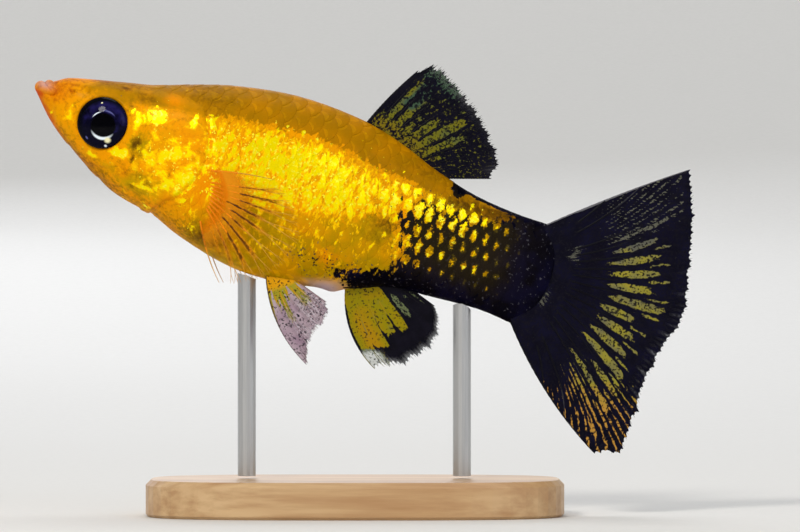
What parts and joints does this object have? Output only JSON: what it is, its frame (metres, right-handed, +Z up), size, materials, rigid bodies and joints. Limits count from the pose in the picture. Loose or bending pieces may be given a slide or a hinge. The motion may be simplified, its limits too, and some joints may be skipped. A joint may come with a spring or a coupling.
{
  "type": "gold dust molly",
  "caption": "Life-size still model of a gold dust molly, nose up, held over a small oval stand by short rods.",
  "frame": {"origin": "centre of the stand base's underside, on the floor", "axes": "+Z up; the fish faces -X, nose up by 20 degrees, so +X runs from head to tail; its left side faces -Y"},
  "size_m": [0.0729, 0.026, 0.0495],
  "materials": {
    "gold_skin": "wet skin with shining gold scales",
    "black_skin": "wet black skin with gold scale spots",
    "orange_fin": "clear fin membrane with orange-brown rays",
    "olive_fin": "fin membrane, yellow between black rays",
    "black_fin": "black fin membrane with yellow streaks between the rays",
    "eye": "polished, wet",
    "maple": "satin lacquer",
    "steel": "brushed"
  },
  "bodies": {
    "root": {"head": "gold_skin", "gill_cover_left": "gold_skin", "gill_cover_right": "gold_skin", "torso": "gold_skin", "tail_stalk": "black_skin", "eye_left": "eye", "eye_right": "eye", "pectoral_fin_left": "orange_fin", "pectoral_fin_right": "orange_fin", "pelvic_fin_left": "olive_fin", "pelvic_fin_right": "olive_fin", "dorsal_fin": "olive_fin", "anal_fin": "olive_fin", "tail_fin": "black_fin", "stand_base": "maple", "stand_rod_front": "steel", "stand_rod_rear": "steel"}
  },
  "joints": []
}
